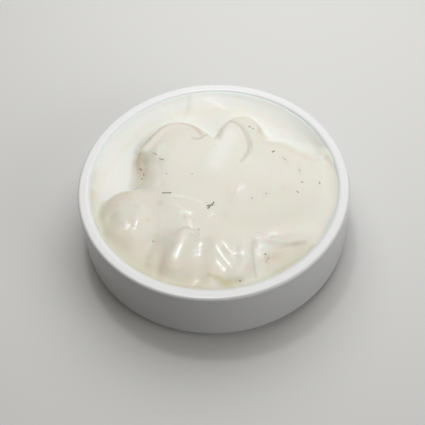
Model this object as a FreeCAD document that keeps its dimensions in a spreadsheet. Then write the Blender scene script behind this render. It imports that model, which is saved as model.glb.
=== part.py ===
"""A portion cup of ranch sauce: a thick-walled white ceramic ramekin and the heaped sauce in it.

Millimetres, +Z up. The origin is the centre of the foot ring's contact face, on the
ramekin's axis. -Y is the side from which the heap of sauce is read: its scalloped edge
runs round the back (+Y) and its folds run down to the front wall (-Y).
"""

import FreeCAD, Part
import math
import os

import Sketcher

Vector = FreeCAD.Vector

doc = FreeCAD.newDocument("PortionCup")

# ---------------------------------------------------------------- driving dimensions

SIZES = [
    # alias, value, what it is
    ("rim_radius", 38.0, "outer radius of the upright wall"),
    ("cup_height", 20.0, "from the foot ring's face to the top of the rim"),
    ("wall", 3.8, "thickness of the wall at the rim"),
    ("wall_draft", 2.0, "degrees that the inside of the wall leans in towards the floor"),
    ("floor_thickness", 3.0, "floor above the hollow under the base"),
    ("foot_inset", 6.5, "from the wall's outside in to the foot ring's outside"),
    ("foot_width", 3.6, "radial width of the foot ring"),
    ("foot_height", 1.8, "from the foot ring's face up to the shoulder under the wall"),
    ("base_hollow", 1.2, "depth of the hollow inside the foot ring"),
    ("rim_round_outside", 0.8, "rounding of the rim's outer edge"),
    ("rim_round_inside", 1.8, "rounding of the rim's inner edge"),
    ("shoulder_round", 1.0, "rounding of the wall's lower edge"),
    ("floor_round", 5.0, "rounding between the inner wall and the floor"),
    ("foot_round", 0.4, "rounding of the foot ring's two contact edges"),
    ("foot_corner_round", 0.5, "rounding in the two corners beside the foot ring"),
    ("low_level", 3.9, "depth of the low sauce beside the heap below the top of the rim"),
    ("climb", 3.5, "how far the sauce that coats the wall climbs above the low sauce"),
    ("climb_width", 3.7, "how far in from the wall that coat thins out"),
    ("climb_spread", 1.6, "how much further it reaches at the back, as a share of that"),
    ("heap_rise", 4.8, "height of the heap's middle above the low sauce"),
    ("heap_fall", 1.9, "how much lower than its middle the heap is at the wall"),
    ("fold_height", 0.9, "height of the folds on the heap"),
    ("edge_width", 2.2, "width of the rounded edge of the heap"),
    ("notch_blend", 0.5, "how far two lobes of the heap's outline run together"),
    ("fold_blend", 0.25, "height over which the heap and the low sauce run together"),
]

sheet = doc.addObject("Spreadsheet::Sheet", "Sizes")
for row, (alias, value, meaning) in enumerate(SIZES, start=1):
    sheet.set(f"A{row}", alias)
    sheet.set(f"B{row}", str(value))
    sheet.set(f"C{row}", meaning)
    sheet.setAlias(f"B{row}", alias)
doc.recompute()

# What follows from the driving dimensions, each by one formula on the sheet.
RIM_INSIDE = "Sizes.rim_radius - Sizes.wall"
FLOOR_TOP = "Sizes.base_hollow + Sizes.floor_thickness"
WALL_LEAN = f"(Sizes.cup_height - ({FLOOR_TOP})) * tan(Sizes.wall_draft * 1 deg)"
FOOT_OUTSIDE = "Sizes.rim_radius - Sizes.foot_inset"
WORKED_OUT = {
    "wall_outside": "Sizes.rim_radius",
    "rim_top": "Sizes.cup_height",
    "rim_inside": RIM_INSIDE,
    "floor_inside": f"{RIM_INSIDE} - {WALL_LEAN}",
    "floor_top": FLOOR_TOP,
    "foot_outside": FOOT_OUTSIDE,
    "foot_inside": f"{FOOT_OUTSIDE} - Sizes.foot_width",
    "shoulder_height": "Sizes.foot_height",
    "hollow_depth": "Sizes.base_hollow",
    "sauce_level": "Sizes.cup_height - Sizes.low_level",
}


def size(alias):
    """The value of one cell of the sheet."""
    return float(getattr(sheet, alias))


def worked_out(name):
    """The value of one of the formulas above."""
    return float(sheet.evalExpression(WORKED_OUT[name]))


# ---------------------------------------------------------------- the ramekin

# The half section's corners in turn, each (radius, height), and the line that starts there.
# A corner is named by the sizes above, and None stands for the axis or the ground.
OUTLINE = [
    ("hollow", None, "hollow_depth"),
    ("foot_inner_wall", "foot_inside", "hollow_depth"),
    ("foot_face", "foot_inside", None),
    ("foot_outer_wall", "foot_outside", None),
    ("shoulder", "foot_outside", "shoulder_height"),
    ("outer_wall", "wall_outside", "shoulder_height"),
    ("rim", "wall_outside", "rim_top"),
    ("inner_wall", "rim_inside", "rim_top"),
    ("floor", "floor_inside", "floor_top"),
    ("axis", None, "floor_top"),
]
LEVEL_LINES = ("hollow", "foot_face", "shoulder", "rim", "floor")
UPRIGHT_LINES = ("foot_inner_wall", "foot_outer_wall", "outer_wall")

# Where each worked-out size is measured: the line whose start lies at that distance.
MEASURED_AT = {
    "wall_outside": ("DistanceX", "outer_wall"),
    "rim_top": ("DistanceY", "rim"),
    "rim_inside": ("DistanceX", "inner_wall"),
    "floor_inside": ("DistanceX", "floor"),
    "floor_top": ("DistanceY", "floor"),
    "foot_outside": ("DistanceX", "foot_outer_wall"),
    "foot_inside": ("DistanceX", "foot_inner_wall"),
    "shoulder_height": ("DistanceY", "shoulder"),
    "hollow_depth": ("DistanceY", "hollow"),
}

# The rounded edges: each one's size, and the (radius, height) of the edges that it rounds.
# The corners beside the foot ring share its low walls with the rounds of its face.
CORNER_ROOM = "(min(Sizes.base_hollow; Sizes.foot_height) - Sizes.foot_round) * 0.7"
ROUNDS = [
    ("RimOutside", "Sizes.rim_round_outside", [("wall_outside", "rim_top")]),
    ("RimInside", "Sizes.rim_round_inside", [("rim_inside", "rim_top")]),
    ("Shoulder", "Sizes.shoulder_round", [("wall_outside", "shoulder_height")]),
    ("FloorCorner", "Sizes.floor_round", [("floor_inside", "floor_top")]),
    ("FootFace", "Sizes.foot_round", [("foot_outside", None), ("foot_inside", None)]),
    (
        "FootCorners",
        f"min(Sizes.foot_corner_round; {CORNER_ROOM})",
        [("foot_outside", "shoulder_height"), ("foot_inside", "hollow_depth")],
    ),
]

START, END = 1, 2  # a sketch line's two ends
ORIGIN, X_AXIS, Y_AXIS = -1, -1, -2  # a sketch's own fixed geometry
SAME_PLACE = 1e-4  # mm


def placed(name):
    """A worked-out size, or zero on the axis or the ground."""
    return worked_out(name) if name else 0.0


def origin_plane(body, role):
    """One of a body's own origin planes, found by its role."""
    return next(f for f in body.Origin.OriginFeatures if f.Role == role)


def half_profile(body):
    """Half of the ramekin's section, right of the axis, with every size bound to the sheet."""
    sketch = body.newObject("Sketcher::SketchObject", "HalfProfile")
    sketch.AttachmentSupport = (origin_plane(body, "XZ_Plane"), [""])
    sketch.MapMode = "FlatFace"

    corners = [Vector(placed(across), placed(up), 0) for _, across, up in OUTLINE]
    lines = {}
    for index, (name, _, _) in enumerate(OUTLINE):
        segment = Part.LineSegment(corners[index], corners[(index + 1) % len(corners)])
        lines[name] = sketch.addGeometry(segment, False)

    names = list(lines)
    for name, following in zip(names, names[1:] + names[:1]):
        sketch.addConstraint(
            Sketcher.Constraint("Coincident", lines[name], END, lines[following], START)
        )
    for name in LEVEL_LINES:
        sketch.addConstraint(Sketcher.Constraint("Horizontal", lines[name]))
    for name in UPRIGHT_LINES:
        sketch.addConstraint(Sketcher.Constraint("Vertical", lines[name]))
    for end in (START, END):
        sketch.addConstraint(Sketcher.Constraint("PointOnObject", lines["axis"], end, Y_AXIS))
    sketch.addConstraint(Sketcher.Constraint("PointOnObject", lines["foot_face"], START, X_AXIS))

    for name, (direction, line) in MEASURED_AT.items():
        number = sketch.addConstraint(
            Sketcher.Constraint(direction, ORIGIN, START, lines[line], START, worked_out(name))
        )
        sketch.renameConstraint(number, name)
        sketch.setExpression(f"Constraints.{name}", WORKED_OUT[name])
    return sketch


def ring_edges(shape, radius, height):
    """The names of a turned shape's round edges at that radius and height."""
    found = []
    for number, edge in enumerate(shape.Edges, start=1):
        curve = edge.Curve
        if not isinstance(curve, Part.Circle):
            continue
        off_radius = abs(curve.Radius - radius)
        off_height = abs(curve.Center.z - height)
        if max(off_radius, off_height) < SAME_PLACE:
            found.append(f"Edge{number}")
    if not found:
        raise ValueError(f"no round edge at radius {radius} and height {height}")
    return found


def rounded(body, base, name, formula, rings):
    """A fillet, bound to one formula, on the round edges at each (radius, height)."""
    edges = []
    for across, up in rings:
        edges += ring_edges(base.Shape, placed(across), placed(up))
    fillet = body.newObject("PartDesign::Fillet", name)
    fillet.Base = (base, edges)
    fillet.Radius = float(sheet.evalExpression(formula))
    fillet.setExpression("Radius", formula)
    doc.recompute()
    return fillet


def ramekin():
    """The cup: a turned section with its edges rounded."""
    body = doc.addObject("PartDesign::Body", "Dish")
    body.Label = "dish"
    profile = half_profile(body)
    doc.recompute()
    turned = body.newObject("PartDesign::Revolution", "Turned")
    turned.Profile = profile
    turned.ReferenceAxis = (profile, ["V_Axis"])
    turned.Angle = 360.0
    doc.recompute()

    shape = turned
    for name, formula, rings in ROUNDS:
        shape = rounded(body, shape, name, formula, rings)
    body.Tip = shape
    doc.recompute()
    return body


# ---------------------------------------------------------------- the heaped sauce

# Places and lengths on the sauce are shares of its radius, so that the heap follows the cup.

# The lobes whose joined outline is the heap's edge: the middle across (+X) and back (+Y),
# the half length and half width, and the turn of the length from +X in degrees.
LOBES = {
    # the broad body, which meets the wall at the front and on the right
    "body": (0.12, -0.47, 0.99, 0.61, 0.0),
    "right_shoulder": (0.53, -0.09, 0.54, 0.45, -15.0),
    # the scalloped back edge, from left to right
    "left_scallop": (-0.66, -0.26, 0.28, 0.29, 0.0),
    "big_scallop": (-0.29, 0.35, 0.35, 0.35, 0.0),
    "peak": (0.25, 0.44, 0.28, 0.21, 78.0),
    "right_step": (0.53, 0.26, 0.19, 0.18, 0.0),
    # what joins the scallops to the body
    "middle": (-0.06, 0.15, 0.42, 0.34, 0.0),
    "saddle": (-0.50, 0.14, 0.145, 0.20, 0.0),
}

CROWN_BACK = 0.12  # how far back from the cup's axis the heap is highest

# Folds (ridges) and valleys on the heap: both ends, the half width, and the height as a share
# of fold_height, below zero for a valley.
FOLDS = {
    "peak_ridge": (0.06, 0.16, 0.26, 0.58, 0.20, 0.45),
    "peak_side": (0.31, 0.24, 0.33, 0.52, 0.07, -0.45),
    "behind_peak": (0.40, 0.34, 0.34, 0.58, 0.08, 0.30),
    "scallop_swell": (-0.36, 0.28, -0.20, 0.50, 0.18, 0.55),
    "left_swell": (-0.76, -0.18, -0.66, -0.14, 0.13, 0.35),
    "left_recess": (-0.60, 0.08, -0.53, 0.25, 0.085, -1.60),
    "left_fold": (-0.78, -0.42, -0.68, -0.46, 0.13, 0.75),
    "left_fold_back": (-0.86, -0.30, -0.68, -0.24, 0.06, -0.40),
    "left_valley": (-0.50, -0.55, -0.42, -0.92, 0.11, -0.60),
    "tall_fold": (-0.25, -0.50, -0.38, -0.88, 0.10, 0.80),
    "tall_fold_side": (-0.13, -0.58, -0.20, -0.92, 0.07, -0.45),
    "middle_swell": (0.02, -0.55, 0.16, -0.80, 0.12, 0.45),
    "narrow_side": (0.28, -0.62, 0.28, -0.95, 0.06, -0.45),
    "front_lip": (0.42, -0.55, 0.72, -0.57, 0.11, 0.45),
    "right_pocket": (0.42, -0.80, 0.62, -0.76, 0.10, -0.80),
    "middle_valley": (0.05, -0.30, 0.66, -0.42, 0.20, -0.30),
    "left_shelf": (-0.34, -0.14, -0.06, -0.22, 0.12, 0.40),
    "right_swell": (0.55, -0.10, 0.80, -0.20, 0.22, 0.35),
}

# Swells in the low sauce, in the same terms: what the spoon drew up the wall at the back.
LOW_SWELLS = {
    "back_smear": (0.00, 0.90, 0.10, 0.68, 0.14, 1.10),
}

NET = 81  # rows and columns of the surface's control points
NET_REACH = 1.06  # how far the net reaches past the sauce's edge, as a share of its radius
DEGREE = 3  # of the surface's splines, each way


def inside_lobe(lobe, x, y):
    """About how far inside a lobe's outline a point lies, below zero outside it."""
    across, back, half_length, half_width, turn = lobe
    cosine, sine = math.cos(math.radians(turn)), math.sin(math.radians(turn))
    dx, dy = x - across, y - back
    along, aside = dx * cosine + dy * sine, dy * cosine - dx * sine
    share = (along / half_length) ** 2 + (aside / half_width) ** 2
    steepness = 2.0 * math.hypot(along / half_length**2, aside / half_width**2)
    return (1.0 - share) / max(steepness, 1.0)


def from_line(fold, x, y):
    """Distance of a point from the straight line between a fold's two ends."""
    x1, y1, x2, y2 = fold[:4]
    length2 = (x2 - x1) ** 2 + (y2 - y1) ** 2
    share = ((x - x1) * (x2 - x1) + (y - y1) * (y2 - y1)) / length2
    share = min(max(share, 0.0), 1.0)
    return math.hypot(x - x1 - share * (x2 - x1), y - y1 - share * (y2 - y1))


def blended_highest(values, blend):
    """The highest of the values, rounded over where two are nearly equal."""
    top = max(values)
    return top + blend * math.log(sum(math.exp((v - top) / blend) for v in values))


def rounded_edge(inside, width):
    """0 outside an edge, then up a quarter round to 1 at its width inside."""
    share = min(max(inside / width, 0.0), 1.0)
    return math.sqrt(1.0 - (1.0 - share) ** 2)


def relief(folds, x, y):
    """What a set of folds and valleys adds to the height at a point."""
    height = 0.0
    for fold in folds.values():
        distance = from_line(fold, x, y) / fold[4]
        height += fold[5] * size("fold_height") * math.exp(-(distance**2))
    return height


def crown(x, y):
    """Height of the heap's top above the low sauce, before its edge is rounded off."""
    from_middle = math.hypot(x, y - CROWN_BACK)
    top = size("heap_rise") - size("heap_fall") * from_middle**2
    return max(top + relief(FOLDS, x, y), 0.0)


def sauce_height(x, y, radius):
    """Height of the sauce's surface at a point given as shares of the sauce's radius."""
    from_wall = max(1.0 - math.hypot(x, y), 0.0) * radius
    reach = size("climb_width") * (1.0 + size("climb_spread") * max(y, 0.0) ** 2)
    low = size("climb") * math.exp(-from_wall / reach)
    low += relief(LOW_SWELLS, x, y) * (1.0 - low / size("climb"))
    inside = blended_highest(
        [inside_lobe(lobe, x, y) * radius for lobe in LOBES.values()], size("notch_blend")
    )
    heap = crown(x, y) * rounded_edge(inside, size("edge_width"))
    return worked_out("sauce_level") + blended_highest([low, heap], size("fold_blend"))


def heaped_block(radius, bottom):
    """A square block down to a height, whose top is the sauce's surface, one smooth face."""
    shares = [NET_REACH * (2.0 * i / (NET - 1) - 1.0) for i in range(NET)]
    poles = [[Vector(x * radius, y * radius, sauce_height(x, y, radius)) for y in shares]
             for x in shares]
    spans = NET - DEGREE
    knots = [float(k) for k in range(spans + 1)]
    repeats = [DEGREE + 1] + [1] * (spans - 1) + [DEGREE + 1]
    surface = Part.BSplineSurface()
    surface.buildFromPolesMultsKnots(
        poles, repeats, repeats, knots, knots, False, False, DEGREE, DEGREE
    )
    highest = max(pole.z for column in poles for pole in column)
    return surface.toShape().extrude(Vector(0, 0, bottom - highest))


def sauce():
    """The sauce: what lies under the heaped surface and inside the ramekin."""
    plug = doc.addObject("Part::Cylinder", "Plug")
    plug.Label = "plug_inside_the_cup"
    plug.setExpression("Radius", "Sizes.rim_radius - Sizes.wall / 2")
    plug.setExpression("Height", "Sizes.cup_height + 2 * Sizes.heap_rise - Sizes.base_hollow")
    plug.setExpression("Placement.Base.z", "Sizes.base_hollow + Sizes.floor_thickness / 2")

    hollow = doc.addObject("Part::Cut", "CupHollow")
    hollow.Label = "hollow_of_the_cup"
    hollow.Base = plug
    hollow.Tool = doc.getObject("Dish")

    heap = doc.addObject("Part::Feature", "HeapedBlock")
    heap.Label = "heaped_block"
    heap.Shape = heaped_block(worked_out("rim_inside"), size("base_hollow"))
    doc.recompute()

    filling = doc.addObject("Part::Common", "Sauce")
    filling.Label = "sauce"
    filling.Base = hollow
    filling.Tool = heap
    doc.recompute()
    return filling


# ---------------------------------------------------------------- build, check and write

SUB_PARTS = [ramekin(), sauce()]
doc.recompute()

for item in doc.Objects:
    if {"Invalid", "Error"} & set(item.State):
        raise RuntimeError(f"{item.Label} failed: {item.State}")
for piece in SUB_PARTS:
    if piece.Shape.isNull() or not piece.Shape.isValid():
        raise RuntimeError(f"{piece.Label} has no valid shape")

os.makedirs("parts", exist_ok=True)
for piece in SUB_PARTS:
    shape = piece.Shape
    shape.exportStep(os.path.join("parts", f"{piece.Label}.step"))
    box = shape.optimalBoundingBox(False)
    print(
        f"{piece.Label}: {len(shape.Solids)} solid, {shape.Volume / 1000:.2f} ml, "
        f"{box.XLength:.1f} x {box.YLength:.1f} x {box.ZLength:.1f} mm, top {box.ZMax:.1f}"
    )
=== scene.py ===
# %% [markdown]
# # A portion cup of ranch sauce
# A white glazed ramekin, 76 mm across, filled with a thick herb dip that was spooned in and
# left as it fell: scalloped at the back, folded towards the front. The cup's own solid is
# right as it is and only needs its glaze. The sauce needs far finer folds than its solid
# holds, so a copy of that solid is remeshed here and worked on, as in sculpting.

# %% The frame
import math
import random

import bmesh
import bpy
import numpy as np
from mathutils import Matrix, Vector
from mathutils.kdtree import KDTree


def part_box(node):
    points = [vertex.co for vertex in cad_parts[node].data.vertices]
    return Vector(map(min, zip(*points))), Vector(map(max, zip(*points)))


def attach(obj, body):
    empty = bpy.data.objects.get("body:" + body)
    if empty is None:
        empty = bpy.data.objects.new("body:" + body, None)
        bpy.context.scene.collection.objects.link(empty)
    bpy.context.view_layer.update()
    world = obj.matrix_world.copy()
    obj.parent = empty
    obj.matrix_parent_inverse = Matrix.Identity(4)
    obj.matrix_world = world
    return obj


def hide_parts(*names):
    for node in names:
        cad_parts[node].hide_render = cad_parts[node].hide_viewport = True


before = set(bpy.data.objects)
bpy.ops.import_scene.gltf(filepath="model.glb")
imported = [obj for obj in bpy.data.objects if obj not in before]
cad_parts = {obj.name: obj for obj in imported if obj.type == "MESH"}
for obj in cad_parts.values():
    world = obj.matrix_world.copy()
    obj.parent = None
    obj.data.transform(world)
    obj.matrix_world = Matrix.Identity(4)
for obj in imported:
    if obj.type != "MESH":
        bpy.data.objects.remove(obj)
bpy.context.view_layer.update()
MM = 0.001
RIM_LOW, RIM_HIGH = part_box("dish")
RIM_TOP = RIM_HIGH.z
RIM_RADIUS = (RIM_HIGH.x - RIM_LOW.x) / 2
print(f"cup {RIM_RADIUS * 2000:.1f} mm across, {RIM_TOP * 1000:.1f} mm high")


def deselect_all():
    """Nothing selected, so that the next operator acts only on what is picked for it."""
    bpy.ops.object.select_all(action="DESELECT")


deselect_all()

# %% [markdown]
# ## The camera
# The cup is seen from the front and well above, so both the rim's ring and the wall under it
# show. The camera is set first, because everything after it is judged through it. Its place
# is a share of the rim's radius, so that it would follow a larger cup.

# %% The camera
LENS = 84.7
EYE = Vector((-0.019, -4.501, 5.806)) * RIM_RADIUS + Vector((0, 0, RIM_TOP))
SENSOR = 36.0
PITCH_BELOW_HORIZON = 53.9
ROLL = -3.78

bpy.ops.object.camera_add(location=EYE)
camera = bpy.context.object
camera.name = "camera"
camera.data.lens = LENS
camera.data.sensor_width = SENSOR
tilt = Matrix.Rotation(math.radians(90 - PITCH_BELOW_HORIZON), 4, "X")
roll = Matrix.Rotation(math.radians(ROLL), 4, "Z")
camera.matrix_world = Matrix.Translation(EYE) @ tilt @ roll
bpy.context.scene.camera = camera
print(f"eye {EYE.length * 1000:.0f} mm from the cup's foot")

# %% [markdown]
# ## Shader maths
# A finish is a tree of nodes, and much of it is arithmetic on masks and textures. Nodes could
# be placed one by one in the editor, but their numbers are then hard to read. Here a small
# class wraps the output of a node, so that sums and products are written as in Python, and
# one method adds any other node.


# %% One output, with its arithmetic
class Wire:
    """One output of a shader node, with the arithmetic that this file uses."""

    def __init__(self, finish, socket):
        self.finish = finish
        self.socket = socket

    def maths(self, operation, *values):
        return self.finish.node("ShaderNodeMath", {"operation": operation}, *values)

    def __add__(self, other):
        return self.maths("ADD", self, other)

    def __sub__(self, other):
        return self.maths("SUBTRACT", self, other)

    def __mul__(self, other):
        return self.maths("MULTIPLY", self, other)

    def __radd__(self, other):
        return self.maths("ADD", other, self)

    def __rsub__(self, other):
        return self.maths("SUBTRACT", other, self)

    def __rmul__(self, other):
        return self.maths("MULTIPLY", other, self)


# %% A finish
class Finish:
    """A new material, to which nodes are added one by one."""

    def __init__(self, name):
        self.material = bpy.data.materials.new(name)
        self.material.use_nodes = True
        self.tree = self.material.node_tree
        self.tree.nodes.clear()

    def node(self, kind, settings, *values, output=0, **named):
        """Adds one node: its settings first, then the values or links of its sockets."""
        made = self.tree.nodes.new(kind)
        for name, value in settings.items():
            setattr(made, name, value)
        filled = [(made.inputs[index], value) for index, value in enumerate(values)]
        filled += [(made.inputs[name.replace("_", " ")], value) for name, value in named.items()]
        for socket, value in filled:
            if isinstance(value, Wire):
                self.tree.links.new(value.socket, socket)
            elif value is not None:
                socket.default_value = value
        return Wire(self, made.outputs[output]) if made.outputs else None

    def mixed(self, factor, first, second):
        """A colour between two colours, by a factor from 0 to 1."""
        others = [None] * 5
        return self.node(
            "ShaderNodeMix", {"data_type": "RGBA"}, factor, *others, first, second, output=2
        )

    def shade(self, **sockets):
        """Ends the finish with its one surface shader, and gives its material."""
        surface = self.node("ShaderNodeBsdfPrincipled", {}, **sockets)
        self.node("ShaderNodeOutputMaterial", {}, surface)
        print(f"{self.material.name}: {len(self.tree.nodes)} nodes")
        return self.material


def put_on(piece, material):
    """Makes a material the only one of a piece."""
    piece.data.materials.clear()
    piece.data.materials.append(material)


# %% [markdown]
# ## The floor
# The cup stands on a plain pale floor. A white cup keeps its form only if its wall stays
# darker than its rim, so the floor throws little light back up: it is pale to the camera and
# in reflections, and a dark grey to the light that bounces.

# %% The floor
FLOOR_PALE = (0.76, 0.76, 0.75, 1.0)
FLOOR_BOUNCE = (0.16, 0.16, 0.16, 1.0)
FLOOR_SIZE = 4.0

bpy.ops.mesh.primitive_plane_add(size=FLOOR_SIZE, location=(0, 0, 0))
floor = bpy.context.object
floor.name = "floor"
finish = Finish("pale_floor")
seen = finish.node("ShaderNodeLightPath", {}, output="Is Camera Ray")
mirrored = finish.node("ShaderNodeLightPath", {}, output="Is Glossy Ray")
through = finish.node("ShaderNodeLightPath", {}, output="Is Transmission Ray")
tone = finish.mixed(seen + mirrored + through, FLOOR_BOUNCE, FLOOR_PALE)
put_on(floor, finish.shade(Base_Color=tone, Roughness=0.9))

# %% [markdown]
# ## The lamps and the world
# Three round lamps light the cup. A broad one hangs close above it and a little behind, so
# that the front of every fold is softly shaded. A small one near the same place is the one
# whose reflection makes the wet marks shine, on top of their painted highlights. A wide dim
# one stands low at the right front and lifts the shadows, and a dim, slightly warm world
# fills the rest. One lamp alone would give either the shine or the form, and not both.

# %% The lamps
# Each lamp: its distance from the cup, its width, how far it leans back and to the right of
# straight above in degrees, and its power in watts.
LAMPS = {
    "broad_lamp": (0.24, 0.28, 30.0, 9.0, 0.43),
    "small_lamp": (0.50, 0.05, 16.0, -3.0, 0.24),
    "side_lamp": (0.60, 0.40, -50.0, 62.0, 0.74),
}

for name, (distance, width, back, right, power) in LAMPS.items():
    aim = Vector((math.tan(math.radians(right)), math.tan(math.radians(back)), 1.0)).normalized()
    bpy.ops.object.light_add(type="AREA", location=aim * distance + Vector((0, 0, RIM_TOP)))
    lamp = bpy.context.object
    lamp.name = name
    lamp.data.shape = "DISK"
    lamp.data.size = width
    lamp.data.energy = power
    lamp.rotation_euler = aim.to_track_quat("Z", "Y").to_euler()
    print(f"{name}: {width * 1000:.0f} mm wide, {lamp.location.z * 1000:.0f} mm above the floor")

# %% The world
WORLD_LEVEL = 0.22
WORLD_COLOUR = (1.0, 0.97, 0.91, 1.0)

world = bpy.data.worlds.new("studio")
bpy.context.scene.world = world
world.use_nodes = True
background = world.node_tree.nodes["Background"]
background.inputs["Color"].default_value = WORLD_COLOUR
background.inputs["Strength"].default_value = WORLD_LEVEL
bpy.context.scene.view_settings.view_transform = "Standard"
print(f"world at {WORLD_LEVEL} of white")

# %% [markdown]
# ## The ramekin's glaze
# A white glaze over stoneware: nearly neutral, glossy, with the faint waviness of a dipped
# glaze. The foot ring stays bare, as potters wipe it so that it does not stick in the kiln.
# The waves could be modelled, but they are far finer than the wall, so a bump gives them,
# and the bare ring is a mask by height, with a slightly uneven edge.

# %% The ramekin's glaze
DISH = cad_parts["dish"]
BARE_HEIGHT = 0.5 * MM
EDGE_WAVER = 0.4 * MM
GLAZE = (0.825, 0.83, 0.835, 1.0)
GLAZE_THICK = (0.84, 0.843, 0.845, 1.0)
BARE = (0.70, 0.66, 0.60, 1.0)
# How rough the glaze is, and how much more so where it pooled and where the foot is bare.
GLAZE_ROUGH, POOLED_ROUGH, BARE_ROUGH = 0.20, 0.05, 0.55
# Thick glaze shows where its noise passes the start, and the contrast sharpens its edge.
THICK_START, THICK_CONTRAST = 0.35, 3.0
PORE_SHARE = 0.3

finish = Finish("white_glaze")
where = finish.node("ShaderNodeTexCoord", {}, output="Object")
above_foot = finish.node("ShaderNodeSeparateXYZ", {}, where, output="Z")
pooled = finish.node("ShaderNodeTexNoise", {}, Vector=where, Scale=45.0, Detail=2.0)
waves = finish.node("ShaderNodeTexNoise", {}, Vector=where, Scale=90.0, Detail=2.0)
pores = finish.node("ShaderNodeTexNoise", {}, Vector=where, Scale=2500.0, Detail=3.0)
wiped_edge = BARE_HEIGHT + (waves - 0.5) * EDGE_WAVER
bare = finish.node("ShaderNodeMath", {"operation": "LESS_THAN"}, above_foot, wiped_edge)
colour = finish.mixed((pooled - THICK_START) * THICK_CONTRAST, GLAZE, GLAZE_THICK)
colour = finish.mixed(bare, colour, BARE)
rough = GLAZE_ROUGH + pooled * POOLED_ROUGH + bare * BARE_ROUGH
relief = waves + bare * pores * PORE_SHARE
bump = finish.node("ShaderNodeBump", {}, Strength=0.05, Distance=0.0006, Height=relief)
put_on(DISH, finish.shade(Base_Color=colour, Roughness=rough, Normal=bump))
print(f"glaze down to {BARE_HEIGHT * 1000:.1f} mm above the foot")

# %% [markdown]
# ## The sauce: a fine skin
# The sauce's solid has the right lobes and folds, but it is too coarse for creases half a
# millimetre wide. Subdividing it would follow its long thin triangles, so a copy of it is
# merged, widened by half a millimetre so that it reaches into the glaze with no gap, and
# remeshed into small even faces. Only the top is kept that fine: the hidden part below is
# cut away and closed again with three plain steps.

# %% A copy of the sauce, widened into the glaze
WALL = 3.8 * MM
SAUCE_RADIUS = RIM_RADIUS - WALL
INTO_WALL = 0.5 * MM
MERGE_DISTANCE = 1e-7


def take(piece):
    """Makes one piece the selected and active one."""
    deselect_all()
    piece.select_set(True)
    bpy.context.view_layer.objects.active = piece


take(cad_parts["sauce"])
bpy.ops.object.duplicate()
sauce = bpy.context.object
sauce.name = "sauce_surface"
sauce.parent = None
take(sauce)
bpy.context.scene.tool_settings.mesh_select_mode = (True, False, False)
bpy.ops.object.mode_set(mode="EDIT")
bpy.ops.mesh.select_all(action="SELECT")
bpy.ops.mesh.remove_doubles(threshold=MERGE_DISTANCE)
wider = 1.0 + INTO_WALL / SAUCE_RADIUS
bpy.ops.transform.resize(value=(wider, wider, 1.0), center_override=(0.0, 0.0, 0.0))
bpy.ops.object.mode_set(mode="OBJECT")
print(f"sauce: {len(sauce.data.polygons)} faces as built, {wider:.3f} times as wide")

# %% The copy remeshed
FINE = 0.28 * MM

remesh = sauce.modifiers.new("fine_skin", "REMESH")
remesh.mode = "VOXEL"
remesh.voxel_size = FINE
remesh.use_smooth_shade = True
bpy.ops.object.modifier_apply(modifier=remesh.name)
print(f"sauce: {len(sauce.data.polygons)} faces of {FINE * 1000:.2f} mm")

# %% The hidden part cut away and closed
CUT_HEIGHT = 13.6 * MM
# Below the cut, the hidden part goes down in steps: each step's height and its width.
STEPS_DOWN = [(9.0 * MM, 0.99), (6.0 * MM, 0.95), (4.5 * MM, 0.87)]

bpy.ops.object.mode_set(mode="EDIT")
bpy.ops.mesh.select_all(action="SELECT")
bpy.ops.mesh.bisect(
    plane_co=(0.0, 0.0, CUT_HEIGHT), plane_no=(0.0, 0.0, 1.0), clear_inner=True, use_fill=True
)
bpy.ops.mesh.select_mode(type="FACE")
height = CUT_HEIGHT
width = 1.0
for step_height, step_width in STEPS_DOWN:
    bpy.ops.mesh.extrude_region_move(
        TRANSFORM_OT_translate={"value": (0.0, 0.0, step_height - height)}
    )
    share = step_width / width
    bpy.ops.transform.resize(value=(share, share, 1.0), center_override=(0.0, 0.0, 0.0))
    height, width = step_height, step_width
bpy.ops.mesh.poke()
bpy.ops.mesh.select_mode(type="VERT")
bpy.ops.mesh.select_all(action="DESELECT")
bpy.ops.object.mode_set(mode="OBJECT")
bpy.ops.object.shade_smooth()
print(f"sauce: {len(sauce.data.polygons)} faces, closed {height * 1000:.1f} mm above the floor")

# %% [markdown]
# ## The sauce: strokes
# Thick sauce keeps every mark of the spoon. Those marks are made here as a sculptor makes
# them: a stroke is a smooth line through a few places, all in millimetres from the cup's
# axis, and the skin along it is pushed by proportional editing, so that the move fades out
# with distance. Each stroke is given in three passes, each shorter than the last, which
# makes its ends run out softly.

# %% A smooth line
STEP = 0.35


def smooth_line(points):
    """Places a small step apart on a smooth line through a few (x, y) points, in mm."""
    points = [Vector(point) for point in points]
    chain = [2 * points[0] - points[1], *points, 2 * points[-1] - points[-2]]
    places = []
    for before, start, end, after in zip(chain, chain[1:], chain[2:], chain[3:]):
        count = max(1, round((end - start).length / STEP))
        bend = 2 * before - 5 * start + 4 * end - after
        twist = 3 * (start - end) + after - before
        for index in range(count):
            t = index / count
            places.append(0.5 * (2 * start + (end - before) * t + bend * t**2 + twist * t**3))
    return [*places, points[-1]]


# %% A stroke
# What is left off at each end of the line in each pass, as a share of its length.
PASSES = (0.0, 0.14, 0.28)
FACING_UP = 0.1


def top_tree(piece):
    """A search tree over a piece's upward-facing vertices, by where they lie from above."""
    upward = [v for v in piece.data.vertices if v.normal.z > FACING_UP]
    vertices = [v for v in upward if v.co.z > CUT_HEIGHT]
    tree = KDTree(len(vertices))
    for vertex in vertices:
        tree.insert((vertex.co.x / MM, vertex.co.y / MM, 0.0), vertex.index)
    tree.balance()
    return tree


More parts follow.
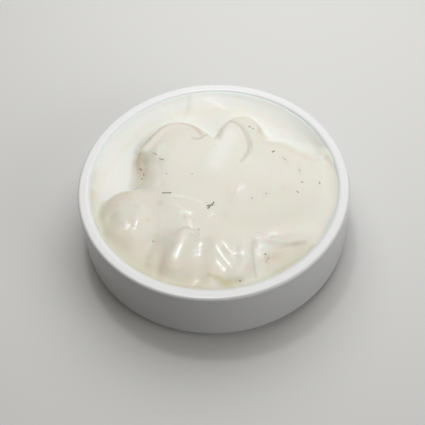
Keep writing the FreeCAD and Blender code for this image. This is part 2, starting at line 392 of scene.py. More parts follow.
def stroke(points, move, reach):
    """Pushes the skin by a (x, y, z) move along a line, fading out within a reach, in mm."""
    places = smooth_line(points) if len(points) > 1 else [Vector(points[0])]
    for share in PASSES:
        skipped = round(share * len(places))
        kept = places[skipped : len(places) - skipped]
        picked = {skin_tree.find((place.x, place.y, 0.0))[1] for place in kept}
        bpy.ops.mesh.select_all(action="DESELECT")
        mesh = bmesh.from_edit_mesh(sauce.data)
        mesh.verts.ensure_lookup_table()
        for index in picked:
            mesh.verts[index].select = True
        mesh.select_flush_mode()
        bpy.ops.transform.translate(
            value=Vector(move) * MM / len(PASSES),
            orient_type="GLOBAL",
            use_proportional_edit=True,
            proportional_edit_falloff="SMOOTH",
            proportional_size=reach * MM,
        )


def soften(points, reach, times):
    """Smooths the skin within a reach of a line, in mm, as a soft brush does."""
    bpy.ops.mesh.select_all(action="DESELECT")
    mesh = bmesh.from_edit_mesh(sauce.data)
    places = [Vector((place.x, place.y, 0.0)) for place in smooth_line(points)]
    near = KDTree(len(places))
    for index, place in enumerate(places):
        near.insert(place, index)
    near.balance()
    for vertex in mesh.verts:
        if vertex.co.z > CUT_HEIGHT:
            flat = Vector((vertex.co.x / MM, vertex.co.y / MM, 0.0))
            vertex.select = near.find(flat)[2] < reach
    mesh.select_flush_mode()
    bpy.ops.mesh.vertices_smooth(factor=0.5, repeat=times)


# %% What a stroke can be
def groove(points, depth, reach):
    """A valley along a line."""
    stroke(points, (0.0, 0.0, -depth), reach)


def ridge(points, height, reach):
    """A raised fold along a line."""
    stroke(points, (0.0, 0.0, height), reach)


def lean(x, y, towards, degrees, reach):
    """Tilts the skin around a place by some degrees, so that it falls towards an (x, y)."""
    apart = Vector(towards).normalized() * reach / 2
    # a third of the reach and not half of it, because the two moves overlap
    rise = math.tan(math.radians(degrees)) * reach / 3
    ridge([(x - apart.x, y - apart.y)], rise, reach)
    groove([(x + apart.x, y + apart.y)], rise, reach)


def say_height(step):
    """Says how high the sauce stands after a step."""
    top = max(vertex.co.z for vertex in sauce.data.vertices)
    print(f"{step}: the sauce is {top * 1000:.2f} mm high")


# %% [markdown]
# The broad moves come first: the coat on the back wall is drawn up to the rim, a wide shallow
# valley crosses the heap from the middle to the right, and the left lobe gets its knob. A
# wide reach is used for them, as with a large brush, so that the small marks made later are
# not blurred.

# %% A line along the wall
RING_STEP = 12.0


def ring(start, end, radius):
    """Places every few degrees along the wall, between two angles from the right (+X)."""
    steps = max(2, round(abs(end - start) / RING_STEP))
    angles = [math.radians(start + (end - start) * step / steps) for step in range(steps + 1)]
    return [(radius * math.cos(angle), radius * math.sin(angle)) for angle in angles]


# %% The broad moves
bpy.ops.object.mode_set(mode="EDIT")
skin_tree = top_tree(sauce)
# the coat at the wall
ridge(ring(30, 176, 35.1), 0.20, 2.0)
ridge([(-31.2, -12.0), (-31.8, -8.0), (-31.2, -4.0)], 0.20, 3.0)
ridge([(-28.6, -16.6), (-29.8, -13.5), (-30.4, -10.0)], 0.30, 4.0)
# the knob of the left lobe
ridge([(-26.0, -10.0), (-23.8, -9.2), (-21.4, -9.8)], 0.55, 5.0)
# the front of the heap, where four slopes are turned a little
ridge([(7.4, -21.5), (7.6, -24.0), (7.8, -27.0)], 0.55, 3.4)
lean(4.4, -22.0, (-0.5, -0.86), 5.0, 7.0)
lean(15.0, -19.0, (-0.5, -0.86), 3.0, 5.0)
lean(-11.0, -22.0, (0.75, -0.66), 4.0, 4.5)
lean(-23.0, -12.6, (0.3, -0.95), 3.5, 5.0)
soften([(-28.4, -13.6), (-27.6, -16.4), (-26.0, -18.4)], 2.4, 90)
ridge([(5.5, -30.0), (8.5, -30.0)], 0.25, 4.5)
ridge([(15.0, -25.0), (19.0, -24.0)], 0.25, 3.0)
soften([(14.5, -21.4), (17.5, -21.2)], 2.2, 60)
# the valley across the heap, and the brow in front of it
groove([(0.5, -10.5), (6.0, -13.6), (13.0, -14.6), (21.0, -13.2), (27.0, -11.5)], 0.10, 6.5)
ridge([(13.0, -18.8), (18.0, -18.8), (23.0, -17.6)], 0.20, 3.0)
# the first scallop drawn in, and the back of the heap run out into the coat on the right
stroke([(-22.4, 12.6), (-20.4, 16.4), (-17.4, 20.4), (-14.6, 22.6)], (0.9, -0.8, -0.10), 2.8)
soften([(16.4, 15.8), (18.6, 14.4), (21.4, 12.6), (25.5, 11.2), (29.0, 9.0)], 3.4, 160)
ridge([(31.6, 9.0), (33.0, 5.4)], 0.6, 3.0)
bpy.ops.object.mode_set(mode="OBJECT")
say_height("broad moves")

# %% [markdown]
# The back edge next: the sauce rolled back on itself there, so each scallop's edge hangs over
# a thin dark crease. The edge is pushed outwards and up, and the creases inside it are cut.

# %% The lines of the back edge
LEFT_EDGE = [
    (-30.5, -11.5), (-30.7, -6.8), (-29.9, -3.0), (-27.8, -0.6), (-25.0, 0.3), (-21.5, 1.6),
]
SCALLOP_EDGE = [
    (-21.4, 12.0), (-19.2, 15.5), (-16.2, 19.4), (-13.2, 22.2), (-10.3, 23.2), (-7.4, 22.6),
    (-4.5, 20.5), (-2.4, 17.2),
]
SCALLOP_HOOK = [(-1.8, 16.6), (-3.4, 15.7), (-5.2, 16.1)]
PEAK_EDGE = [
    (-1.5, 16.7), (1.2, 18.8), (3.7, 21.0), (5.6, 23.0), (7.8, 24.3), (9.8, 24.6),
    (12.0, 23.2), (14.0, 19.8), (15.2, 16.6),
]
PEAK_CREASE = [
    (4.6, 21.4), (6.3, 21.8), (8.3, 20.5), (9.9, 18.0), (10.9, 14.6), (11.0, 11.6),
    (10.5, 9.8), (9.6, 8.2), (8.4, 6.4),
]
SMEAR_EDGE = [(-5.2, 34.0), (-5.8, 32.0), (-6.1, 30.0), (-7.1, 27.4)]
print(f"the scallop's edge has {len(smooth_line(SCALLOP_EDGE))} places, {STEP} mm apart")

# %% The back edge
bpy.ops.object.mode_set(mode="EDIT")
# the rolled edges
soften([(-31.6, -12.0), (-31.6, -7.0), (-30.8, -3.6)], 2.2, 30)
stroke([(x * 0.985, y * 0.985) for x, y in LEFT_EDGE[2:]], (-0.08, 0.14, 0.14), 1.6)
stroke([(x * 0.97, y - 0.8) for x, y in SCALLOP_EDGE], (-0.06, 0.25, 0.17), 1.9)
stroke([(x, y - 0.9) for x, y in PEAK_EDGE], (0.0, 0.25, 0.17), 1.8)
# the hook at the scallop's end, and the crease round the peak
groove(SCALLOP_HOOK, 0.22, 1.0)
ridge([(-2.4, 14.9), (-4.4, 14.4), (-6.0, 15.0)], 0.12, 1.4)
groove(PEAK_CREASE, 0.30, 1.1)
stroke([(x - 0.9, y - 0.5) for x, y in PEAK_CREASE], (0.15, 0.05, 0.14), 1.7)
# the smear on the back wall
groove(SMEAR_EDGE, 0.10, 1.2)
ridge([(-3.8, 33.2), (-4.4, 31.0), (-4.5, 28.6)], 0.06, 2.4)
ridge([(-0.4, 32.0), (2.2, 30.6), (4.8, 28.4)], 0.10, 1.4)
bpy.ops.object.mode_set(mode="OBJECT")
say_height("back edge")

# %% [markdown]
# On the left a pocket is torn open between two lobes, with thin, darker sauce in it. Its
# wall is drawn in first and softened, because it is steep and its faces would fold over, and
# the furrow and its raised lip are added after that.

# %% The torn pocket
bpy.ops.object.mode_set(mode="EDIT")
stroke([(-22.6, 9.6), (-22.8, 7.0), (-22.4, 4.4)], (2.0, 0.0, -0.10), 3.0)
soften([(-19.9, 9.8), (-20.4, 8.4), (-20.3, 6.8), (-20.7, 3.8)], 3.1, 150)
soften([(-20.8, 9.2), (-20.6, 7.0), (-21.0, 4.4)], 2.0, 60)
ridge([(-15.4, 12.4), (-16.8, 9.6), (-17.0, 6.8), (-17.8, 4.0)], 0.40, 2.8)
groove([(-20.0, 12.0), (-20.2, 7.4), (-20.6, 4.0)], 0.45, 2.0)
groove([(-18.8, 10.2), (-18.9, 7.0), (-20.0, 4.0)], 0.08, 1.2)
ridge([(-16.0, 11.9), (-17.0, 9.4), (-18.0, 6.0), (-19.4, 3.0)], 0.12, 1.8)
ridge([(-15.4, 14.0), (-13.2, 15.4)], 0.14, 1.9)
bpy.ops.object.mode_set(mode="OBJECT")
say_height("torn pocket")

# %% [markdown]
# Towards the front the sauce ran down in folds. None is straight or like the next one, so
# each has its own bend, width and height.

# %% The folds at the front, on the left
TIP_ARC = [(-10.6, -15.6), (-8.4, -14.8), (-6.2, -15.6), (-4.8, -17.4)]

bpy.ops.object.mode_set(mode="EDIT")
# the fold at the left wall, and what lies in front of it
groove([(-29.6, -10.8), (-27.8, -8.0), (-24.8, -6.7), (-21.6, -7.4), (-19.6, -10.0)], 0.12, 1.8)
soften([(-25.5, -17.2), (-24.0, -19.6), (-21.5, -22.0)], 2.6, 80)
ridge([(-24.4, -12.2), (-24.1, -12.7)], 0.08, 1.2)
ridge([(-21.3, -11.4), (-21.9, -13.4)], 0.08, 1.1)
groove([(-16.8, -16.4), (-18.2, -19.2), (-19.4, -22.0)], 0.08, 2.0)
ridge([(-16.6, -21.0), (-17.2, -25.0), (-17.6, -28.0)], 0.30, 3.0)
soften([(-13.4, -21.6), (-14.8, -26.0), (-15.4, -29.4)], 3.0, 90)
# the tall fold, which leans to the left as it comes forwards
stroke([(-11.4, -24.0), (-13.0, -27.6), (-14.0, -30.6)], (-1.3, 0.0, 0.10), 4.2)
stroke([(-5.6, -26.0), (-5.0, -29.0), (-4.6, -31.6)], (1.2, 0.0, 0.10), 3.6)
ridge([(-9.4, -19.4), (-10.4, -21.6)], 0.14, 2.6)
stroke([(-10.4, -16.9), (-8.4, -15.9), (-6.6, -16.6), (-5.2, -18.4)], (0.0, 0.14, 0.17), 1.2)
groove(TIP_ARC, 0.14, 1.1)
groove([(-6.6, -18.4), (-7.4, -21.6), (-8.8, -25.6)], 0.06, 1.5)
soften([(-9.0, -18.8), (-10.3, -21.6), (-11.8, -24.6)], 2.2, 40)
# small wrinkles beside it
ridge([(-4.2, -19.8), (-5.2, -20.3)], 0.04, 0.9)
ridge([(-5.0, -21.4), (-6.2, -21.9)], 0.04, 0.9)
ridge([(-4.8, -22.8), (-5.8, -23.4)], 0.04, 0.9)
soften([(-3.0, -20.4), (-3.2, -24.4), (-3.6, -28.6)], 1.8, 50)
bpy.ops.object.mode_set(mode="OBJECT")
say_height("folds on the left")

# %% The folds at the front, on the right
FRONT_CREASE = [(9.9, -20.3), (9.5, -22.6), (9.3, -26.4), (9.5, -31.0)]
LIP_SHADOW = [(15.2, -22.8), (18.0, -22.5), (20.6, -22.0), (23.2, -21.5)]

bpy.ops.object.mode_set(mode="EDIT")
# the slanting folds
ridge([(-0.6, -21.0), (1.2, -24.2), (2.6, -26.6), (4.0, -28.6)], 0.06, 0.9)
ridge([(-0.8, -25.2), (0.4, -26.8), (1.6, -28.2)], 0.05, 0.8)
ridge([(1.4, -19.6), (2.6, -22.0), (3.9, -23.8), (5.2, -24.2), (7.2, -23.8)], 0.08, 1.0)
groove([(0.6, -22.0), (2.2, -24.4), (3.8, -26.2)], 0.04, 0.9)
# the upright crease with its narrow fold
groove(FRONT_CREASE, 0.16, 0.9)
ridge([(11.4, -19.4), (11.0, -22.2), (10.9, -25.2), (11.8, -29.0)], 0.15, 1.1)
# the lip on the right, over a shallow pocket
soften([(13.0, -25.4), (16.6, -24.6), (20.6, -22.6)], 3.6, 40)
ridge([(13.6, -29.0), (17.5, -27.4), (21.5, -24.6)], 0.40, 3.2)
groove(LIP_SHADOW[1:], 0.05, 1.4)
stroke([(13.4, -20.4), (16.4, -21.0), (19.6, -21.1), (23.0, -20.6)], (0.0, -0.10, 0.06), 1.4)
# what shines on the middle
ridge([(-11.8, -4.6), (-8.4, -5.2), (-5.2, -6.5), (-2.8, -8.2)], 0.09, 0.9)
ridge([(-11.2, -7.2), (-9.0, -8.4), (-6.4, -10.2)], 0.06, 1.1)
ridge([(-7.9, -11.2)], 0.16, 1.0)
ridge([(-7.2, -13.2)], 0.14, 1.0)
ridge([(-0.9, -11.0), (-0.6, -11.5)], 0.17, 1.0)
ridge([(6.8, -3.5), (7.8, -2.4)], 0.24, 1.6)
ridge([(14.0, -19.0), (15.8, -18.8)], 0.14, 1.2)
bpy.ops.object.mode_set(mode="OBJECT")
say_height("folds on the right")

# %% [markdown]
# ## The sauce: where it is darker and paler
# The colour follows the form: painted shade in thin dark lines under the rolled edges and in
# the creases, beige where the sauce is thin, a warmer tone in the torn pocket, yellow-green
# where herb oil gathers, and whiter in the low sauce and on the back wall. Painted light lifts
# the shade on a few slopes, painted highlights run along the wet lines, and a band of painted
# shade lies in the valley across the heap and in the gutter at the right wall. An image could
# hold all this, but it would need the skin unfolded flat. Here each is a layer of numbers on
# the skin, painted along lines as the strokes were pushed, and the finish turns each layer
# into a colour.

# %% The layers
LAYER_NAMES = ("crease_shade", "thin_sauce_and_shade", "herb_oil_and_shade", "warm", "pale_and_painted_light", "matt", "painted_highlight")

count = len(sauce.data.vertices)
places_flat = np.empty(count * 3)
sauce.data.vertices.foreach_get("co", places_flat)
skin = places_flat.reshape(-1, 3) / MM
LAYERS = {name: np.zeros(count) for name in LAYER_NAMES}
print(f"{len(LAYERS)} layers on {count} places of the skin")


# %% Painting along a line
def smooth_step(values, start, end):
    """0 before a start, 1 after an end, and a smooth S between them."""
    share = np.clip((values - start) / (end - start), 0.0, 1.0)
    return share * share * (3.0 - 2.0 * share)


def along(points, width):
    """1 on a line, fading over a width in mm on either side."""
    line = smooth_line(points) if len(points) > 1 else [Vector(points[0])]
    nearest = np.full(count, np.inf)
    for place in line:
        nearest = np.minimum(nearest, (skin[:, 0] - place.x) ** 2 + (skin[:, 1] - place.y) ** 2)
    return np.exp(-nearest / width**2)


def paint(layer, points, width, strength):
    """Lays a layer along a line."""
    LAYERS[layer] = np.maximum(LAYERS[layer], strength * along(points, width))


def wipe(layer, points, width):
    """Takes a layer off again along a line."""
    LAYERS[layer] = LAYERS[layer] * (1.0 - along(points, width))


# %% The low sauce and the coat
# Where each part starts and ends, in mm: the low sauce by its height, the coat by its
# distance from the axis, and both by how far back they lie.
LOW_SAUCE = (16.9, 18.6)
COAT = (28.5, 31.5)
COAT_FROM_FRONT = (5.0, 11.0)
PALE_FROM_FRONT = (-6.0, 2.0)

from_axis = np.hypot(skin[:, 0], skin[:, 1])
below = 1.0 - smooth_step(skin[:, 2], *LOW_SAUCE)
on_wall = smooth_step(from_axis, *COAT) * smooth_step(skin[:, 1], *COAT_FROM_FRONT)
LAYERS["pale_and_painted_light"] = np.maximum(below, on_wall) * smooth_step(skin[:, 1], *PALE_FROM_FRONT)
print(f"pale over {LAYERS['pale_and_painted_light'].mean():.0%} of the skin")

# %% [markdown]
# In air the skin of the dip dulls within minutes. It stays wet, and shines, only where it
# moved last: on the sharp crests and in a few small spots. So the whole skin is made matt
# first, and the matt layer is wiped off again along those lines. Along them a painted
# highlight also makes the colour paler.

# %% The dulled skin
DULL = 0.6

LAYERS["matt"] = np.maximum(LAYERS["pale_and_painted_light"], DULL)
# most of all in the hollow under the lip, in the torn pocket and between two front folds
paint("matt", [(13.6, -27.0), (16.6, -26.0), (20.6, -23.6)], 3.4, 0.9)
paint("matt", [(-21.4, 10.0), (-21.4, 7.0), (-21.6, 4.0)], 2.6, 0.9)
paint("matt", [(-12.4, -26.0), (-12.4, -29.0)], 2.0, 0.9)
print(f"matt by {LAYERS['matt'].mean():.0%} on average")

# %% Paler places on the heap, most of them painted light
# the smooth flank of the peak; a painted sheen on the mound in the middle, and painted light on
# a foot between the front folds
paint("pale_and_painted_light", [(1.0, 6.0), (3.4, 12.0), (5.6, 17.0)], 3.2, 0.8)
paint("pale_and_painted_light", [(7.4, -3.4)], 2.2, 0.35)
paint("pale_and_painted_light", [(5.6, -26.2), (6.0, -27.6)], 1.4, 0.5)
# a broad faint band over the heap, and painted light that lifts the shade over the brow and
# along the wall on the right
paint("pale_and_painted_light", [(-8.0, 10.0), (0.0, 6.0), (12.0, 6.0), (24.0, 2.0)], 9.0, 0.16)
paint("pale_and_painted_light", [(8.0, -24.0), (14.0, -23.0), (21.0, -21.0), (27.0, -15.0)], 4.0, 0.26)
paint("pale_and_painted_light", ring(-35, 15, 31.6), 2.4, 0.28)
# painted light that lifts the shade on the round side of the left lobe, and where the back of
# the heap meets the wall
paint("pale_and_painted_light", [(-29.4, -14.6)], 1.8, 0.6)
paint("pale_and_painted_light", [(-30.6, -12.0), (-28.6, -17.0), (-25.0, -21.6)], 3.0, 0.30)
paint("pale_and_painted_light", [(29.4, 9.4), (32.0, 6.4)], 2.2, 0.6)
print(f"pale by {LAYERS['pale_and_painted_light'].mean():.0%} on average")

# %% The wet lines, with their painted highlights
# Each has its line, its width in mm and how pale its painted highlight is, from 0 to 1.
GLOSS_AND_HIGHLIGHT_LINES = [
    # on the tall fold
    ([(-8.8, -18.3), (-9.8, -20.2)], 0.45, 0.7),
    ([(-10.2, -20.9), (-11.4, -23.0)], 1.0, 1.0),
    # on the small wrinkles beside it
    ([(-4.2, -20.2), (-5.0, -20.6)], 0.35, 0.8),
    ([(-5.0, -21.7), (-6.2, -22.1)], 0.45, 0.9),
    ([(-5.0, -23.0), (-6.0, -23.4)], 0.50, 1.0),
    # on the slanting folds
    ([(-0.5, -21.4), (1.5, -24.9), (3.4, -28.2)], 0.38, 0.8),
    ([(-0.4, -25.8), (1.3, -28.4)], 0.38, 0.8),
    ([(1.7, -20.4), (3.5, -23.4), (4.5, -24.1), (6.9, -23.8)], 0.45, 0.9),
    ([(4.3, -23.7), (5.6, -24.1), (6.8, -24.0)], 0.65, 0.9),
    # on the narrow fold and above the lip
    ([(11.4, -18.9)], 0.50, 0.4),
    ([(11.5, -21.8), (11.4, -22.3)], 0.65, 0.9),
    ([(11.1, -23.9), (10.9, -24.4)], 0.75, 1.0),
    ([(14.3, -18.95), (15.6, -18.75)], 0.90, 1.0),
    # on the middle of the heap
    ([(-11.6, -4.1), (-8.3, -4.7), (-5.0, -6.1), (-2.5, -8.1)], 0.32, 0.35),
    ([(-10.9, -7.2), (-9.6, -7.7)], 0.45, 0.4),
    ([(-8.9, -9.7), (-6.9, -10.2)], 0.50, 0.8),
    ([(-7.2, -12.6), (-6.6, -15.2)], 0.48, 0.7),
    ([(-0.9, -11.2)], 0.65, 0.7),
    ([(7.2, -3.5), (8.1, -2.7)], 0.70, 0.9),
    # on the left lobe
    ([(-24.4, -13.0)], 0.80, 1.0),
    ([(-22.5, -14.3), (-21.4, -11.7)], 0.38, 0.8),
    # at the front wall, at the right wall and on the back wall
    ([(-7.5, -32.6), (-5.9, -31.0)], 0.35, 0.7),
    ([(25.9, -21.5)], 0.50, 0.6),
    ([(-0.2, 32.7), (2.4, 31.1), (5.0, 28.8)], 0.40, 1.0),
]
# The skin is glossy over a little more than the painted highlight.
WIPED_WIDER = 1.6

# painted light along the coat's upper edge all along the back wall, which lifts its shade
paint("painted_highlight", ring(30, 176, 33.6), 1.2, 0.5)
for points, width, highlight_strength in GLOSS_AND_HIGHLIGHT_LINES:
    wipe("matt", points, WIPED_WIDER * width)
    paint("painted_highlight", points, width, highlight_strength)
print(f"{len(GLOSS_AND_HIGHLIGHT_LINES)} wet lines, matt by {LAYERS['matt'].mean():.0%} after them")

# %% Painted shade: dark lines under the edges
# painted shade at the back, darker where some parts of an edge hang over more than others
paint("crease_shade", LEFT_EDGE[2:], 0.5, 0.40)
paint("crease_shade", LEFT_EDGE[:3], 0.5, 0.12)
paint("crease_shade", SCALLOP_EDGE[:2], 0.45, 0.12)
paint("crease_shade", SCALLOP_EDGE[1:], 0.65, 0.55)
paint("crease_shade", SCALLOP_HOOK, 0.4, 0.5)
paint("crease_shade", PEAK_EDGE[:6], 0.5, 0.5)
paint("crease_shade", PEAK_EDGE[5:], 0.5, 0.15)
paint("crease_shade", PEAK_CREASE, 0.45, 0.45)
paint("crease_shade", SMEAR_EDGE, 0.5, 0.18)
# painted shade at the front, in the creases and under the lip
paint("crease_shade", FRONT_CREASE, 0.4, 0.35)
paint("crease_shade", LIP_SHADOW, 0.4, 0.2)
paint("crease_shade", LIP_SHADOW[2:], 0.7, 0.35)
paint("crease_shade", TIP_ARC, 0.5, 0.3)
print(f"{np.count_nonzero(LAYERS['crease_shade'] > 0.1)} places darkened by more than a tenth")

# %% [markdown]
# Thin sauce lets the brown of the herbs and the vinegar show, so it is beige, most of all in
# the torn pocket and under the lip at the front. Herb oil separates and gathers in the
# lowest places at the front, next to the wall. Faint smudges lie on the heap itself, and a
# broad band of painted shade follows the valley across it.

# %% The torn pocket and the hollow under the lip
paint("warm", [(-20.6, 11.2), (-20.4, 7.6), (-20.4, 4.2)], 2.2, 0.85)
paint("thin_sauce_and_shade", [(14.0, -26.4), (16.4, -26.2), (20.0, -23.8)], 2.4, 0.25)
paint("thin_sauce_and_shade", [(13.0, -24.9), (12.9, -29.0)], 0.8, 0.45)
paint("warm", [(14.2, -27.4), (15.4, -25.2), (18.4, -23.6)], 1.9, 0.40)
paint("thin_sauce_and_shade", [(14.2, -27.4), (15.4, -25.2), (18.4, -23.6)], 1.9, 0.30)
paint("herb_oil_and_shade", [(15.5, -29.4), (18.6, -27.8), (21.4, -25.6), (24.4, -22.6)], 1.8, 0.32)
print(f"warm over {np.count_nonzero(LAYERS['warm'] > 0.1)} places")

# %% Thin sauce at the left and front wall
FRONT_WALL = [(-31.5, -10.0), (-28.4, -17.0), (-22.6, -24.4), (-14.6, -30.0), (-6.0, -33.0)]

paint("thin_sauce_and_shade", [(-17.4, -20.0), (-15.4, -27.0)], 2.6, 0.32)
paint("thin_sauce_and_shade", [(-29.0, -8.0), (-27.6, -3.6), (-24.0, -1.6)], 2.0, 0.35)
paint("thin_sauce_and_shade", [(-26.0, -17.0), (-20.0, -22.0), (-11.0, -27.0), (-3.0, -29.0)], 5.2, 0.34)
paint("herb_oil_and_shade", FRONT_WALL, 3.2, 0.32)
print(f"thin over {np.count_nonzero(LAYERS['thin_sauce_and_shade'] > 0.1)} places")

# %% Smudges on the heap, and painted shade in its valley
# a broad faint band of painted shade along the valley across the heap
paint("thin_sauce_and_shade", [(2.3, -11.5), (5.5, -13.7), (13.0, -14.1), (20.7, -13.1)], 2.4, 0.10)
paint("thin_sauce_and_shade", [(-14.9, -6.2)], 0.8, 0.6)
paint("thin_sauce_and_shade", [(-18.3, -11.1)], 0.8, 0.4)
paint("thin_sauce_and_shade", [(3.0, -11.6)], 1.2, 0.25)
paint("thin_sauce_and_shade", [(14.3, -5.5)], 0.9, 0.25)
paint("thin_sauce_and_shade", [(19.7, -4.1)], 1.8, 0.15)
paint("thin_sauce_and_shade", [(4.2, -3.0), (4.4, -7.0)], 1.6, 0.12)
paint("thin_sauce_and_shade", [(20.0, 8.2), (21.0, 5.0)], 1.4, 0.12)
paint("thin_sauce_and_shade", [(24.6, 5.2), (24.4, 1.2)], 0.8, 0.15)
print(f"thin by {LAYERS['thin_sauce_and_shade'].mean():.1%} on average")

# %% Herb oil at the wall, and painted shade at the right wall
# a run that widens to a pool at the front
paint("herb_oil_and_shade", [(-2.8, -29.5), (-1.0, -30.2)], 0.55, 0.75)
paint("herb_oil_and_shade", [(-0.8, -30.6), (0.6, -31.2)], 0.95, 0.95)
paint("herb_oil_and_shade", [(0.8, -31.9), (2.2, -32.4)], 1.5, 1.0)
paint("herb_oil_and_shade", [(2.6, -32.1), (5.2, -32.2)], 1.1, 0.65)
# painted shade in a faint line along the gutter at the right wall, and a faint line on the left
paint("herb_oil_and_shade", ring(38, -8, 33.4), 1.4, 0.12)
paint("herb_oil_and_shade", ring(168, 192, 34.2), 0.8, 0.2)
print(f"oil over {np.count_nonzero(LAYERS['herb_oil_and_shade'] > 0.1)} places")

# %% The layers are kept on the mesh
for name, values in LAYERS.items():
    layer = sauce.data.attributes.new(name, "FLOAT", "POINT")
    layer.data.foreach_set("value", values)
print({name: round(float(values.mean()), 3) for name, values in LAYERS.items()})

# %% [markdown]
# ## The sauce: its finish
# Ranch is mayonnaise and buttermilk, so light goes a little way into it and comes out
# softened, and its wet skin is glossy. Its colour is never quite even: broad faint patches
# are pinker or greener, and herb dust hangs just under the surface. One flat colour would
# look like plaster, so the tints of the painted layers are laid over each other in order,
# and a share of the light goes under the skin.

# %% The cream's colours
HEAP = (0.80, 0.778, 0.68, 1.0)
PINKER = (0.81, 0.755, 0.685, 1.0)
GREENER = (0.79, 0.775, 0.665, 1.0)
DUST = (0.56, 0.53, 0.42, 1.0)
# The tint of each layer, in the order in which they are laid over each other.
TINTS = {
    # whiter low sauce and coat, and in places painted light
    "pale_and_painted_light": (0.87, 0.872, 0.83, 1.0),
    # thin sauce, and in the valley across the heap painted shade
    "thin_sauce_and_shade": (0.68, 0.575, 0.435, 1.0),
    # herb oil, and at the right wall painted shade
    "herb_oil_and_shade": (0.60, 0.565, 0.335, 1.0),
    "warm": (0.85, 0.76, 0.60, 1.0),
    # painted shade under the edges and in the creases
    "crease_shade": (0.50, 0.46, 0.375, 1.0),
    # painted highlight along the wet lines, and painted light at the back wall
    "painted_highlight": (0.93, 0.925, 0.87, 1.0),
}
# A patch shows where its noise passes the start, and the contrast sharpens its edge.
PINK_START, GREEN_START, PATCH_CONTRAST = 0.40, 0.45, 2.2
# A speck of dust is a cell's middle up to this distance, and is only faintly seen.
SPECK_SIZE, SPECK_STRENGTH = 0.055, 0.18

finish = Finish("cream")
where = finish.node("ShaderNodeTexCoord", {}, output="Object")
pink = finish.node("ShaderNodeTexNoise", {}, Vector=where, Scale=110.0, Detail=2.0)
green = finish.node("ShaderNodeTexNoise", {}, Vector=where, Scale=150.0, Detail=3.0)
grain = finish.node("ShaderNodeTexVoronoi", {}, Vector=where, Scale=260.0)
colour = finish.mixed((pink - PINK_START) * PATCH_CONTRAST, HEAP, PINKER)
colour = finish.mixed((green - GREEN_START) * PATCH_CONTRAST, colour, GREENER)
for name, tint in TINTS.items():
    mask = finish.node("ShaderNodeAttribute", {"attribute_name": name}, output="Fac")
    colour = finish.mixed(mask, colour, tint)
speck = finish.node("ShaderNodeMath", {"operation": "LESS_THAN"}, grain, SPECK_SIZE)
colour = finish.mixed(speck * SPECK_STRENGTH, colour, DUST)
print(f"{len(TINTS)} tints over the heap's own colour")

# %% The cream's shine and its depth
# How rough the skin is where it is wet, and how much rougher where it is fully matt.
WET_ROUGH, MATT_ROUGH = 0.18, 0.30
# The share of light that goes in, and how far it goes.
DEEP_SHARE, DEPTH = 0.45, 1.5 * MM

matt = finish.node("ShaderNodeAttribute", {"attribute_name": "matt"}, output="Fac")
rough = matt * MATT_ROUGH + WET_ROUGH
ripple = finish.node("ShaderNodeTexNoise", {}, Vector=where, Scale=420.0, Detail=2.0)
bump = finish.node("ShaderNodeBump", {}, Strength=0.10, Distance=0.0003, Height=ripple)
cream = finish.shade(
    Base_Color=colour,
    Roughness=rough,
    Subsurface_Weight=DEEP_SHARE,
    Subsurface_Scale=DEPTH,
    Normal=bump,
)
put_on(sauce, cream)
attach(sauce, "root")
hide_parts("sauce")
print(f"the skin's roughness goes from {WET_ROUGH:.2f} to {WET_ROUGH + MATT_ROUGH:.2f}")

# %% [markdown]
# ## Herbs
# Chopped dried dill: dark threads and flat bits, two and a half millimetres long at the most,
# half sunk in the sauce. They could be a pattern in the finish, but they stand up a little
# and catch light, so they are meshes. Each starts as a box of its own length and width, which
# is divided, roughened and bent, and is then laid on the skin where it belongs.

# %% A bit of herb
HERB_THICKNESS = 0.10 * MM
# How far its outline is roughened, as a share of its width, and where its bent tip starts,
# as a share of its length.
RAGGED = 0.16
TIP_START = 0.4


def herb_bit(length, width, bend, seed):
    """One bit along X, divided, roughened and bent sideways, all in mm."""
    bpy.ops.mesh.primitive_cube_add(size=1.0)
    bit = bpy.context.object
    bpy.ops.object.mode_set(mode="EDIT")
    bpy.ops.mesh.subdivide(number_cuts=3)
    bpy.ops.transform.resize(value=(length * MM, width * MM, HERB_THICKNESS))
    bpy.ops.transform.vertex_random(offset=RAGGED * width * MM, seed=seed)
    bpy.ops.mesh.select_all(action="DESELECT")
    mesh = bmesh.from_edit_mesh(bit.data)
    for vertex in mesh.verts:
        vertex.select = vertex.co.x > TIP_START * length * MM
    mesh.select_flush_mode()
    bpy.ops.transform.translate(
        value=(0.0, bend * MM, 0.0),
        use_proportional_edit=True,
        proportional_edit_falloff="SMOOTH",
        proportional_size=length * MM,
    )
    bpy.ops.object.mode_set(mode="OBJECT")
    return bit


# %% Laying and joining the bits
# The share of a bit's thickness that its middle lies under the skin, and what lifts it again.
SUNK = 0.35
LIFT = 0.02 * MM
DROP_HEIGHT = 20 * MM
SHARP_ANGLE = 50


def lay(bit, x, y, turn):
    """Lays a bit on the sauce at a place in mm, turned in degrees, with its own slope."""
    above = Vector((x * MM, y * MM, RIM_TOP + DROP_HEIGHT))
    _, place, normal, _ = sauce.ray_cast(above, Vector((0, 0, -1)))
    slope = Vector((0, 0, 1)).rotation_difference(normal).to_matrix().to_4x4()
    spin = Matrix.Rotation(math.radians(turn), 4, "Z")
    lifted = Matrix.Translation(place + normal * (LIFT - SUNK * HERB_THICKNESS))
    bit.data.transform(lifted @ slope @ spin)


def joined(bits, name, material):
    """Several bits as one piece, on the body that the cup stands on."""
    deselect_all()
    for bit in bits:
        bit.select_set(True)
    bpy.context.view_layer.objects.active = bits[0]
    bpy.ops.object.join()
    piece = bpy.context.object
    piece.name = name
    put_on(piece, material)
    bpy.ops.object.shade_smooth_by_angle(angle=math.radians(SHARP_ANGLE))
    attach(piece, "root")
    print(f"{name}: {len(piece.data.polygons)} faces")


# %% The herbs' finish
# The paler green shows where its noise passes the start, as the cream's patches do.
MOTTLE_START, MOTTLE_CONTRAST = 0.3, 2.5


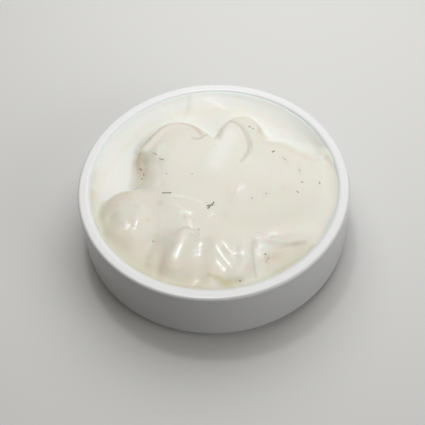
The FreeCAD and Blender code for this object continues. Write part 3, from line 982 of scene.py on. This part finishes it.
def herb_material(name, dark, light):
    """Chopped herb: mottled between two greens, wetted by the sauce."""
    finish = Finish(name)
    where = finish.node("ShaderNodeTexCoord", {}, output="Object")
    mottle = finish.node("ShaderNodeTexNoise", {}, Vector=where, Scale=1800.0, Detail=3.0)
    colour = finish.mixed((mottle - MOTTLE_START) * MOTTLE_CONTRAST, dark, light)
    veins = finish.node("ShaderNodeTexNoise", {}, Vector=where, Scale=6000.0, Detail=2.0)
    bump = finish.node("ShaderNodeBump", {}, Strength=0.4, Distance=0.00005, Height=veins)
    return finish.shade(
        Base_Color=colour,
        Roughness=0.35,
        Subsurface_Weight=0.1,
        Subsurface_Scale=0.0002,
        Normal=bump,
    )


dill_green = herb_material("dill", (0.17, 0.155, 0.085, 1.0), (0.36, 0.32, 0.20, 1.0))
herb_dust = herb_material("herb_dust", (0.30, 0.28, 0.18, 1.0), (0.45, 0.42, 0.30, 1.0))

# %% Where the herbs lie
# Each: the place (x, y), its length and width in mm, its turn in degrees, its bend in mm.
HERBS = [
    # the threads and bits that stand out in the middle
    (-13.0, -3.0, 2.5, 0.36, -7.0, 0.04),
    (-1.3, -8.6, 1.9, 0.45, 42.0, 0.20),
    (-0.5, -7.7, 1.4, 0.36, 74.0, -0.15),
    (-1.8, -8.3, 0.9, 0.30, 10.0, 0.10),
    # in and beside the torn pocket
    (-20.4, 8.0, 1.3, 0.20, -52.0, 0.20),
    (-19.4, 5.9, 1.5, 0.30, -74.0, -0.15),
    (-20.0, 4.4, 0.7, 0.28, 12.0, 0.05),
    (-16.2, 11.2, 1.6, 0.14, -62.0, 0.45),
    (-14.3, 9.1, 1.9, 0.16, -36.0, 0.12),
    # on the right
    (17.7, 9.5, 0.9, 0.40, 28.0, 0.10),
    (20.4, 6.7, 1.5, 0.12, -64.0, 0.30),
    (24.7, -1.8, 0.45, 0.36, 0.0, 0.0),
    (29.6, -2.2, 0.8, 0.24, 84.0, 0.10),
    (23.1, -5.2, 0.9, 0.22, -58.0, 0.10),
    (24.4, 2.3, 0.9, 0.14, -72.0, 0.10),
    (14.4, -5.3, 0.35, 0.18, 20.0, 0.0),
    # behind the peak
    (11.6, 19.2, 0.8, 0.24, -42.0, 0.12),
    (12.6, 18.4, 0.6, 0.18, -30.0, 0.0),
    # towards the front
    (12.5, -24.3, 0.40, 0.34, 30.0, 0.0),
    (13.3, -25.5, 0.30, 0.22, 70.0, 0.0),
    (12.7, -26.3, 0.24, 0.20, 10.0, 0.0),
    (5.3, -32.1, 0.50, 0.36, -30.0, 0.0),
    (15.8, -30.9, 0.40, 0.20, 35.0, 0.0),
    (-4.7, -15.8, 0.5, 0.22, 80.0, 0.05),
    (-17.2, -17.9, 0.5, 0.20, 50.0, 0.05),
    # on the left and in the middle, hardly showing
    (-5.7, 2.9, 0.45, 0.18, 15.0, 0.0),
    (-12.9, 3.8, 0.45, 0.16, -10.0, 0.0),
    (10.4, -6.5, 0.6, 0.16, 70.0, 0.05),
]
bits = []
for number, (x, y, length, width, turn, bend) in enumerate(HERBS):
    bit = herb_bit(length, width, bend, number)
    lay(bit, x, y, turn)
    bits.append(bit)
joined(bits, "herb_bits", dill_green)

# %% [markdown]
# Finer dust is scattered over the whole sauce. A square root of the first draw spreads it
# evenly over the round, and a fixed seed gives the same grains each time.

# %% Herb dust
DUST_GRAINS = 34
DUST_SPREAD = 31.0
DUST_SEED = 7
DUST_LENGTH = (0.10, 0.26)
DUST_WIDTH = (0.08, 0.16)

dice = random.Random(DUST_SEED)
bits = []
for number in range(DUST_GRAINS):
    distance, angle = DUST_SPREAD * math.sqrt(dice.random()), math.tau * dice.random()
    bit = herb_bit(dice.uniform(*DUST_LENGTH), dice.uniform(*DUST_WIDTH), 0.0, number)
    lay(bit, distance * math.cos(angle), distance * math.sin(angle), dice.uniform(0.0, 180.0))
    bits.append(bit)
joined(bits, "herb_dust", herb_dust)
